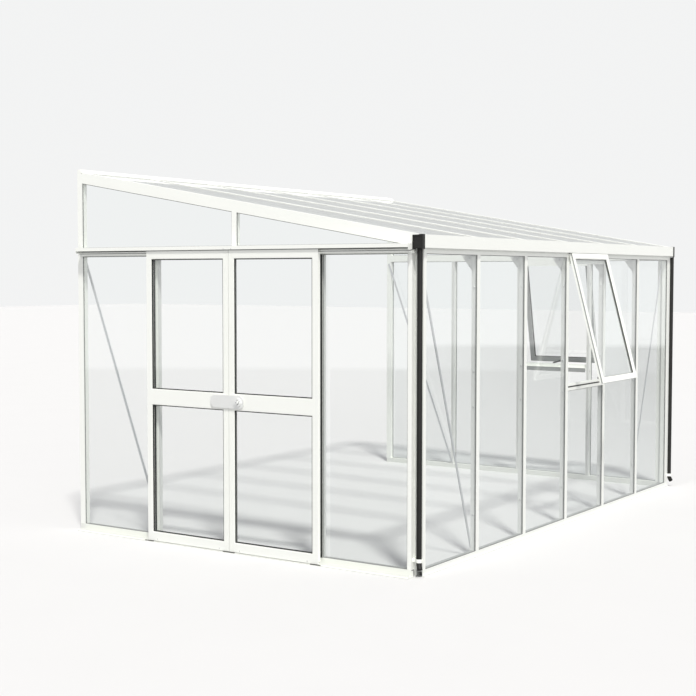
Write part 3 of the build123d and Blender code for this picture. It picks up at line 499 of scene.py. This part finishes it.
gable_bays = bay_edges(GABLE_BARS, POST_GABLE_Y, PLATE_Y)
king_post = GABLE_BARS[2]
for side, x, out, rows in (
    ("left", X0, -X_DIR, wall_rows([gable_bays[0], gable_bays[-1]])),
    ("right", X1, X_DIR, wall_rows(gable_bays, GABLE_WINDOW_BAY)),
):
    beads = beads_of_panes(rows, (x, 0, 0), Y_DIR, Z_DIR, out, GLASS_FACES, BEAD)
    for y0, y1 in ((Y0, king_post - HALF_BAR), (king_post + HALF_BAR, PLATE_Y)):
        beads += pane_beads(upper_corners(x, y0, y1), out, GLASS_FACES, BEAD)
    piece(f"{side}_gable_glazing_beads", *joined(beads), GREY_RUBBER)

slope_end = (PLATE_Y - Y0) / COS
roof_edges = bay_edges(FRONT_BARS, X0 + WALL_T, X1 - WALL_T)
roof_rows = [(low, high, ROOF_PANE_START, slope_end) for low, high in roof_edges]
roof_plane = ((0, Y0, ROOF_FOOT), X_DIR, UP_SLOPE, OUT_OF_ROOF)
beads = beads_of_panes(roof_rows, *roof_plane, GLASS_FACES, ROOF_BEAD)
piece("roof_glazing_beads", *joined(beads), GREY_RUBBER)

# Door leaves: beads, a cover over the head that goes up behind the hood, its brush, foot screws
STILE = 0.051
FOOT_RAIL = 0.071
MID_RAIL = (1.023, 1.146)
HEAD_RAIL = 0.045
REBATE = 0.006              # how far a pane's opening goes behind its stiles and rails
HALF_PANE = 0.002
COVER_T = 0.005
COVER_TOP = 2.1665
HEAD_BRUSH = [(-0.0005, 2.1580), (-0.0005, 2.1660)]
FOOT_SCREW_IN = 0.090
FOOT_SCREW_UP = 0.023
for side in ("left", "right"):
    body = f"door_{side}"
    low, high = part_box(f"door_{side}_frame")
    edges = (low.y + STILE - REBATE, high.y - STILE + REBATE)
    lights = ((low.z + FOOT_RAIL, MID_RAIL[0]), (MID_RAIL[1], high.z - HEAD_RAIL))
    rows = [(*edges, z0 - REBATE, z1 + REBATE) for z0, z1 in lights]
    middle = (high.x - low.x) / 2
    depths = (middle - HALF_PANE, middle + HALF_PANE)
    beads = beads_of_panes(rows, (low.x, 0, 0), Y_DIR, Z_DIR, -X_DIR, depths, DOOR_BEAD)
    piece(f"door_{side}_glazing_beads", *joined(beads), RUBBER, body)
    cover = [(COVER_T / 2, high.z), (COVER_T / 2, COVER_TOP), (0.0070, COVER_TOP)]
    run = (low.x, low.y, high.y - low.y)
    piece(f"door_{side}_head_cover", *along_gable(cover, COVER_T, *run), WHITE, body)
    piece(f"door_{side}_head_brush", *along_gable(HEAD_BRUSH, 0.001, *run), GREY_RUBBER, body)
    screws = places([low.x], [low.y + FOOT_SCREW_IN, high.y - FOOT_SCREW_IN], [FOOT_SCREW_UP])
    piece(f"door_{side}_foot_screws", *turned(pan_head(0.0045), screws, -X_DIR), STEEL, body)

# Track: hood with a shallow face, shelf with the wheels' upstand, end plates and a lower lip.
# A point of a line is its distance from the gable's outer face and its height.
SHEET = 0.003
HOOD_TOP = TRANSOM_TOP - SHEET / 2
HOOD = [(-0.0015, HEAD), (-0.0015, HOOD_TOP), (-0.0780, HOOD_TOP), (-0.0780, 2.1640)]
SHELF = [(-0.0030, 2.1492), (-0.0445, 2.1492), (-0.0445, 2.1557)]
END_PLATE = [(-0.0765, 2.1675), (-0.0030, 2.1675)]
END_PLATE_H = 0.039
LOWER_LIP = [(-0.0330, 2.1477), (-0.0330, 2.1300)]
WHEEL_BRUSH = [(-0.0045, 2.1520), (-0.0045, 2.1860)]
LIP_BRUSH = [(-0.0350, 2.1420), (-0.0350, 2.1475)]
HOOD_SCREW_OUT = -0.0795
HOOD_SCREW_ALONG = (1.505, 1.575)
HOOD_SCREW_UP = 2.1700
track_low, track_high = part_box("door_track")
track_run = (X0, track_low.y, track_high.y - track_low.y)
parts = [along_gable(line, SHEET, *track_run) for line in (HOOD, SHELF)]
for y in (track_low.y, track_high.y - SHEET):
    parts.append(along_gable(END_PLATE, END_PLATE_H, X0, y, SHEET))
parts.append(along_gable(LOWER_LIP, 0.002, *track_run))
track = piece("door_track_hood", *joined(parts), WHITE)
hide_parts("door_track")
parts = [along_gable(line, 0.002, *track_run) for line in (WHEEL_BRUSH, LIP_BRUSH)]
piece("door_track_brushes", *joined(parts), DEEP_SHADE_AND_PILE_COAT)
screws = places([X0 + HOOD_SCREW_OUT], [Y0 + along for along in HOOD_SCREW_ALONG], [HOOD_SCREW_UP])
piece("hood_screws", *turned(pan_head(0.0040), screws, -X_DIR), STEEL)

# Ribbed seals on the jambs, and black guide blocks at the feet of the leaves
RIBS = [(-0.0095, -0.001), (-0.0050, -0.006), (0, -0.002), (0.0050, -0.006), (0.0095, -0.001)]
JAMB_SEAL_OUT = 0.0105
BLOCK = [(-0.0790, 0.0045), (-0.0790, 0.0085), (-0.0735, 0.0085), (-0.0735, 0.0045)]
SIDE_BLOCK_OUT = 0.010
jamb_low, jamb_high = GABLE_BARS[1], GABLE_BARS[3]
parts = [
    folded(RIBS, 0.002, (X0, y, SILL_TOP), Y_DIR, X_DIR, Z_DIR, HEAD - SILL_TOP)
    for y in (jamb_low - JAMB_SEAL_OUT, jamb_high + JAMB_SEAL_OUT)
]
piece("door_jamb_seals", *joined(parts), RUBBER)
blocks = ((king_post, 0.052), (jamb_low - SIDE_BLOCK_OUT, 0.042), (jamb_high + SIDE_BLOCK_OUT, 0.042))
parts = [along_gable(BLOCK, 0.0018, X0, middle - half, 2 * half) for middle, half in blocks]
piece("door_guide_blocks", *joined(parts), BLACK)

# Lock in the knob; a point of a profile is a radius and the distance out of the knob's face
GROOVE = [(0.0168, -0.0100), (0.0168, -0.0085), (0.0150, -0.0080)]
BARREL = [(0.0055, -0.0006), (0.0055, 0.0008), (0.0045, 0.0012)]
KEYWAY = [(0.0019, -0.0004), (0.0019, 0.0003)]
KEYWAY_OUT = 0.0011
knob_low, knob_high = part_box("door_latch_knob")
knob_face = (knob_low.x, (knob_low.y + knob_high.y) / 2, (knob_low.z + knob_high.z) / 2)
piece("door_knob_groove", *turned(GROOVE, knob_face, -X_DIR, 24), RUBBER, "door_left")
piece("door_lock_barrel", *turned(BARREL, knob_face, -X_DIR, 16), STEEL, "door_left")
keyway = turned(KEYWAY, knob_face - KEYWAY_OUT * X_DIR, -X_DIR, 6)
piece("door_lock_keyway", *keyway, RUBBER, "door_left")

# Windows: the planes of the open sashes turn about the hinge line
SASH_BAR = 0.046
SASH_T = 0.028
SASH_W = 0.715
SASH_H = 1.053
HINGE_Z = 2.151
EDGE_SEAL = np.array(
    [(0.0003, -0.0120), (-0.0010, -0.0115), (-0.0010, -0.0045), (0.0003, -0.0040)]
)
HINGE_END = [(0.0036, -0.0010), (0.0036, 0.0070), (0.0028, 0.0080)]
HINGE_OUT = 0.0043
HINGE_UP = 0.0055
SILL_RUN = BAY - BAR_W - 0.002
SILL_SEAL = [(-0.001, -0.0052), (0.0010, -0.0044), (0.0010, 0.0044), (-0.001, 0.0052)]
SILL_SEAL_Z = 1.0940        # at the foot of the sill's upstand
# Heights of the painted shade strip under the far window's sill
SHADE_STRIP = [(0, 1.0460), (0, 1.0860)]
SHADE_STRIP_IN = WALL_T + 0.0012


def middle_of(bars, bay):
    return (bars[bay] + bars[bay + 1]) / 2


front_hinge = np.array((middle_of(FRONT_BARS, FRONT_WINDOW_BAY), Y0, HINGE_Z))
gable_hinge = np.array((X1, middle_of(GABLE_BARS, GABLE_WINDOW_BAY), HINGE_Z))
for name, degrees, across, outward, hinge, profile in (
    ("front_window", 15.0, X_DIR, -Y_DIR, front_hinge, SASH_BEAD),
    ("gable_window", 12.0, Y_DIR, X_DIR, gable_hinge, DOOR_BEAD),
):
    angle = math.radians(degrees)
    out = outward * math.cos(angle) + Z_DIR * math.sin(angle)
    down = outward * math.sin(angle) - Z_DIR * math.cos(angle)
    half = SASH_W / 2 - SASH_BAR + REBATE
    rows = [(-half, half, SASH_BAR - REBATE, SASH_H - SASH_BAR + REBATE)]
    face = hinge + out * SASH_T
    depths = (SASH_T / 2 - HALF_PANE, SASH_T / 2 + HALF_PANE)
    beads = beads_of_panes(rows, face, across, down, out, depths, profile)
    piece(f"{name}_glazing_beads", *joined(beads), RUBBER)
    ring = rectangle(face, across, down, -SASH_W / 2, SASH_W / 2, 0.0, SASH_H)
    piece(f"{name}_edge_seal", *rim(ring, out, EDGE_SEAL), GREY_RUBBER)
    pin_line = hinge + outward * HINGE_OUT + Z_DIR * HINGE_UP
    ways = (-across, across)
    pins = [turned(HINGE_END, pin_line + way * SASH_W / 2, way, 12) for way in ways]
    piece(f"{name}_hinge_ends", *joined(pins), RUBBER)
    corner = hinge * (1, 1, 0) - across * SILL_RUN / 2
    run = (outward, Z_DIR, across, SILL_RUN)
    # Dull strip on the inner face of the far window's sill, the one whose inside shows: painted shade
    # under the sill
    if name == "gable_window":
        strip = folded(SHADE_STRIP, 0.002, corner - outward * SHADE_STRIP_IN, *run)
        piece(f"{name}_painted_shade_strip", *strip, DEEP_SHADE_AND_PILE_COAT)
    foot = corner - outward * SEAT_BACK + Z_DIR * SILL_SEAL_Z
    piece(f"{name}_sill_seal", *folded(SILL_SEAL, 0.0012, foot, *run), RUBBER)

# Screws of the bars, brackets and roof caps
HALF_BODY = BAR_BODY_W / 2
HALF_BRACKET = 0.008
BAR_SCREW_IN = 0.031
BAR_SCREW_LEVELS = [0.30, 1.06, 1.31, 1.90]
BRACKET_SCREW_IN = 0.070
BRACKET_SCREW_LEVELS = [2.050, 2.105]
ROOF_SCREW_ROWS = np.linspace(0.20, 2.85, 6)
screw = pan_head(0.0075)
inner_front, inner_gable = np.array(FRONT_BARS[1:-1]), np.array(GABLE_BARS[1:-1])
parts = []
for way in (-1, 1):
    eave = places(inner_front + way * HALF_BODY, [Y0 + BAR_SCREW_IN], BAR_SCREW_LEVELS)
    gable = places([X1 - BAR_SCREW_IN], inner_gable + way * HALF_BODY, BAR_SCREW_LEVELS)
    brackets = (inner_front + way * HALF_BRACKET, [Y0 + BRACKET_SCREW_IN], BRACKET_SCREW_LEVELS)
    parts += [turned(screw, eave, way * X_DIR), turned(screw, gable, way * Y_DIR)]
    parts.append(turned(screw, places(*brackets), way * X_DIR))
piece("bar_screws", *joined(parts), STEEL)
roof_points = places(inner_front, ROOF_SCREW_ROWS, [0])
roof_points[:, 2] = roof_top(roof_points[:, 1])
piece("roof_cap_screws", *turned(pan_head(0.0045), roof_points, OUT_OF_ROOF), STEEL)

# Camera at the photograph's viewpoint
VIEW_FROM = (-9.7176, -4.4039, 1.9817)
VIEW_YAW = 0.587172         # from +X towards +Y
VIEW_PITCH = 0.054563       # downwards
VIEW_ROLL = 0.0005414
FOCAL_PIXELS = 1328.80
IMAGE_PIXELS = 696
SENSOR = 36.0

ahead = Vector((math.cos(VIEW_YAW), math.sin(VIEW_YAW), -math.tan(VIEW_PITCH))).normalized()
level = ahead.cross(Vector((0, 0, 1))).normalized()
upright = level.cross(ahead)
right = level * math.cos(VIEW_ROLL) + upright * math.sin(VIEW_ROLL)
top = upright * math.cos(VIEW_ROLL) - level * math.sin(VIEW_ROLL)
camera_data = bpy.data.cameras.new("photograph_view")
camera_data.sensor_width = SENSOR
camera_data.lens = FOCAL_PIXELS / IMAGE_PIXELS * SENSOR
camera = bpy.data.objects.new("photograph_view", camera_data)
turn = Matrix((right, top, -ahead)).transposed().to_4x4()
camera.matrix_world = Matrix.Translation(VIEW_FROM) @ turn
bpy.context.scene.collection.objects.link(camera)
bpy.context.scene.camera = camera

# Pale floor, duller where it throws light up under the bars
FLOOR_HALF = 60.0
FLOOR_TONES = ((0.700, 0.700, 0.695), (0.685, 0.685, 0.682))
FLOOR_THROWN_UP = (0.36, 0.36, 0.37)
floor_mesh = bpy.data.meshes.new("pale_floor")
corners = np.array([(-1, -1, 0), (1, -1, 0), (1, 1, 0), (-1, 1, 0)]) * FLOOR_HALF
floor_mesh.from_pydata(corners.tolist(), [], [(0, 1, 2, 3)])
floor_finish = bpy.data.materials.new("pale_floor")
ground = Finish(floor_finish)
plain = ground.mix_colours(ground.noise(size=0.8, detail=3.0), *FLOOR_TONES)
thrown_up = ground.node("ShaderNodeLightPath", output="Is Diffuse Ray")
floor_colour = ground.mix_colours(thrown_up, plain, FLOOR_THROWN_UP)
ground.principled(Base_Color=floor_colour, Roughness=0.9)
floor_mesh.materials.append(floor_finish)
floor = bpy.data.objects.new("pale_floor", floor_mesh)
bpy.context.scene.collection.objects.link(floor)
floor.visible_glossy = False

# Studio light: an even dome that throws light, a pale backdrop that the camera sees, and for the
# mirror of the glass a white sky over a dark ground, pale paving and one grey card
BACKDROP = (0.895, 0.900, 0.900)
DOME = (0.535, 0.530, 0.555)
MIRRORED_SKY = (1.0, 1.0, 1.0)
MIRRORED_GROUND = (0.17, 0.175, 0.175)
MIRRORED_PAVING = (0.80, 0.81, 0.81)
MIRRORED_CARD = (0.74, 0.75, 0.745)
CARD_WAY = (0.846, 0.517, 0.131)
CARD_EDGE = 0.955           # cosine of the angle from the card's middle to its edge
SKYLINE_TILT = 0.0104
SKYLINE_DROP = 0.0635
world = bpy.data.worlds.new("studio")
bpy.context.scene.world = world
dome = Finish(world)
direction = dome.node("ShaderNodeTexCoord", output="Generated")
way_x, way_z = (dome.part_of(direction, axis) for axis in "XZ")
to_card = {0: direction, 1: CARD_WAY}
towards_card = dome.node("ShaderNodeVectorMath", {"operation": "DOT_PRODUCT"}, to_card, "Value")
sky = (way_z - way_x * SKYLINE_TILT + SKYLINE_DROP).above(0.0, width=0.004)
card = towards_card.above(CARD_EDGE, width=0.030)
paving = (way_z * -1.0).above(0.075, width=0.10) * way_x.above(0.0, width=0.05)
below = dome.mix_colours(paving, MIRRORED_GROUND, MIRRORED_PAVING)
mirrored = dome.mix_colours(sky, below, dome.mix_colours(card, MIRRORED_SKY, MIRRORED_CARD))
glossy = dome.node("ShaderNodeLightPath", output="Is Glossy Ray")
seen = dome.node("ShaderNodeLightPath", output="Is Camera Ray")
light = dome.mix_colours(seen, dome.mix_colours(glossy, DOME, mirrored), BACKDROP)
dome.shade(dome.node("ShaderNodeBackground", inputs={"Color": light}), "ShaderNodeOutputWorld")

# Each lamp: name, strength, angle across in degrees, colour, and the way to it
LAMPS = (
    ("soft_high_lamp", 2.8, 7.0, (1.0, 0.985, 0.95), (-0.43, -0.43, 1.0)),
    ("broad_low_lamp", 0.90, 30.0, (1.0, 1.0, 0.98), (-0.70, -0.70, 0.25)),
)
for name, energy, degrees, colour, way in LAMPS:
    lamp_data = bpy.data.lights.new(name, "SUN")
    lamp_data.energy = energy
    lamp_data.angle = math.radians(degrees)
    lamp_data.color = colour
    lamp = bpy.data.objects.new(name, lamp_data)
    lamp.rotation_mode = "QUATERNION"
    lamp.rotation_quaternion = Vector(way).to_track_quat("Z", "Y")
    bpy.context.scene.collection.objects.link(lamp)

scene = bpy.context.scene
scene.view_settings.view_transform = "Standard"
scene.cycles.transparent_max_bounces = 32
